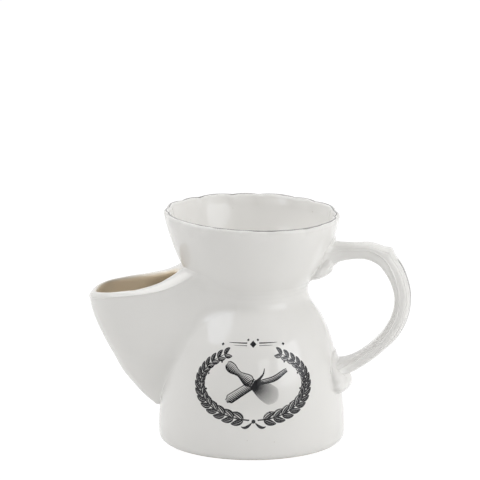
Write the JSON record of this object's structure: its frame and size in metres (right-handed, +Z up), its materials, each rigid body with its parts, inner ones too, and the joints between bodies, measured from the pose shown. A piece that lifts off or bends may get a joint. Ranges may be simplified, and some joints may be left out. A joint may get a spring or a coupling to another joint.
{
  "type": "shaving scuttle",
  "caption": "White glazed shaving scuttle: bell-shaped hot water reservoir with a brush spout, a scalloped soap bowl on its waist and a ridged strap handle.",
  "frame": {"origin": "middle of the foot ring, on the surface that the scuttle stands on", "axes": "+X towards the handle, -X towards the brush spout, +Z up; the XZ plane is the plane of symmetry of the spout and the handle"},
  "size_m": [0.1653, 0.0958, 0.1195],
  "materials": {
    "white_glaze": "gloss white glaze over a cream clay",
    "silver_lustre": "thin bright silver line painted on the glaze",
    "black_print": "black transfer under a clear glaze",
    "bare_clay": "wiped, unglazed foot ring"
  },
  "bodies": {
    "root": {"reservoir_body": "white_glaze", "brush_spout": "white_glaze", "soap_bowl": "white_glaze", "soap_drainer": "white_glaze", "handle": "white_glaze", "upper_leaf_terminal": "white_glaze", "lower_leaf_terminal": "white_glaze"}
  },
  "joints": []
}
